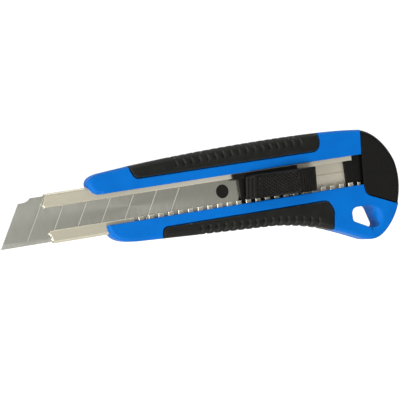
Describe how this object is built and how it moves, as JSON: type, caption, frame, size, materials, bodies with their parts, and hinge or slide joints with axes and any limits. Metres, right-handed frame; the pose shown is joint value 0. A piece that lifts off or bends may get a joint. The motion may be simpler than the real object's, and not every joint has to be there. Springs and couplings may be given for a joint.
{
  "type": "utility knife",
  "caption": "Hand knife with a long snap-off blade in a notched steel channel, a sprung thumb slider, soft grips, a lanyard hole and a pull-off end cap.",
  "frame": {"origin": "on the flat back face, on the centre line of the blade slide, near the middle of the handle", "axes": "+X along the slide from the blade tip towards the end cap, +Y from the cutting edge towards the spine, +Z from the back face up towards the thumb slider"},
  "size_m": [0.1769, 0.0471, 0.0154],
  "materials": {
    "blue_plastic": "satin moulded ABS",
    "soft_grip": "matt ribbed thermoplastic rubber",
    "channel_steel": "bright folded sheet steel",
    "blade_steel": "fine ground carbon steel",
    "spring_steel": "rolled spring steel",
    "screw_steel": "zinc plated",
    "cap_plastic": "fine textured",
    "slider_plastic": "knurled, satin"
  },
  "bodies": {
    "handle": {"front_shell": "blue_plastic", "back_shell": "blue_plastic", "front_upper_grip": "soft_grip", "front_lower_grip": "soft_grip", "back_upper_grip": "soft_grip", "back_lower_grip": "soft_grip", "shell_screws": "screw_steel", "blade_channel": "channel_steel", "upper_spare_blade": "blade_steel", "lower_spare_blade": "blade_steel", "magazine_spring": "spring_steel"},
    "slider": {"slider_carriage": "slider_plastic", "blade": "blade_steel", "lock_spring": "spring_steel"},
    "button": {"thumb_button": "slider_plastic"},
    "cap": {"end_cap": "cap_plastic"}
  },
  "joints": [
    {"name": "blade_slide", "type": "slide", "parent": "handle", "child": "slider", "axis": [-1, 0, 0], "range_m": [-0.02165, 0.05629], "deforming": ["lock_spring"]},
    {"name": "button_press", "type": "slide", "parent": "slider", "child": "button", "axis": [0, 0, -1], "range_m": [0, 0.0008], "stiffness_N_per_m": 2500, "springref_m": -0.0004},
    {"name": "cap_pull", "type": "slide", "parent": "handle", "child": "cap", "axis": [1, 0, 0], "range_m": [0, 0.02]}
  ]
}
